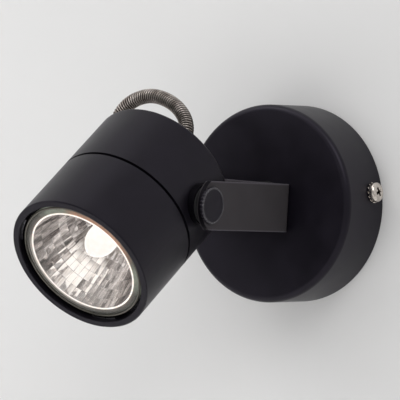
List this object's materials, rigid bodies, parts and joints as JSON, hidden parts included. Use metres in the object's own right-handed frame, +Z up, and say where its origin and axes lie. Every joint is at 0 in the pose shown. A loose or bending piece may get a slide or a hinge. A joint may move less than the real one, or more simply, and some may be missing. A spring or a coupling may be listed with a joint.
{
  "type": "wall spotlight",
  "caption": "Wall spotlight: round cup, flat bent arm, tilting cylindrical head with a reflector lamp and a ribbed metal hose looping from arm to head.",
  "frame": {"origin": "middle of the wall face, on the swivel axis", "axes": "+X along the wall to the right, +Y into the wall, +Z up; the lamp points to -Y and down"},
  "size_m": [0.1035, 0.1258, 0.0879],
  "materials": {
    "cup_black": "matt powder coat",
    "arm_black": "satin powder coat",
    "head_black": "matt powder coat",
    "knob_black": "satin moulded",
    "zinc_steel": "zinc plated",
    "nickel": "nickel plated",
    "brass": "turned",
    "fibre": "pressed fibre",
    "grommet_rubber": "matt",
    "block_plastic": "moulded",
    "lead_sheath": "silicone",
    "core_sheath": "silicone",
    "reflector_glass": "mirror coated inside",
    "cover_glass": "clear",
    "quartz": "clear quartz",
    "ceramic": "unglazed ceramic",
    "spring_steel": "blued"
  },
  "bodies": {
    "base": {"wall_cup": "cup_black", "wall_bracket": "zinc_steel", "cable_grommet": "grommet_rubber", "cup_screws": "nickel", "cup_screw_washers": "nickel", "terminal_block": "block_plastic", "terminal_clamps": "brass", "terminal_screws": "zinc_steel", "terminal_fixing_screw": "zinc_steel", "supply_lead": "lead_sheath", "lead_cores": "core_sheath"},
    "arm": {"bracket_arm": "arm_black", "swivel_nipple": "zinc_steel", "front_nut": "zinc_steel", "rear_nut": "zinc_steel", "foot_washer": "fibre", "rear_washer": "zinc_steel", "spring_washer": "spring_steel", "tilt_washer": "fibre", "hose": "nickel", "lamp_lead": "lead_sheath"},
    "head": {"rear_shell": "head_black", "lamp_reflector": "reflector_glass", "lamp_glass": "cover_glass", "lamp_capsule": "quartz", "lamp_pins": "nickel", "lamp_holder": "ceramic", "holder_contacts": "brass", "holder_bracket": "zinc_steel", "holder_rivets": "nickel", "hose_bush": "head_black", "pivot_saddle": "head_black", "pivot_nut": "zinc_steel", "pivot_stud": "zinc_steel"},
    "ring": {"front_ring": "head_black", "rim_springs": "spring_steel"},
    "knob": {"pivot_knob": "knob_black"}
  },
  "joints": [
    {"name": "arm_swivel", "type": "hinge", "parent": "base", "child": "arm", "pos_m": [0, -0.0255, 0], "axis": [0, 1, 0], "range_deg": [-170, 170]},
    {"name": "head_tilt", "type": "hinge", "parent": "arm", "child": "head", "pos_m": [-0.02145, -0.0759, 0], "axis": [1, 0, 0], "range_deg": [-66, 54], "deforming": ["hose", "lamp_lead"]},
    {"name": "ring_twist", "type": "hinge", "parent": "head", "child": "ring", "pos_m": [-0.02145, -0.0759, 0], "axis": [0, -0.809, -0.5878], "range_deg": [0, 20]},
    {"name": "knob_turn", "type": "hinge", "parent": "head", "child": "knob", "pos_m": [-0.02145, -0.0759, 0], "axis": [1, 0, 0], "range_deg": [0, 180]}
  ]
}
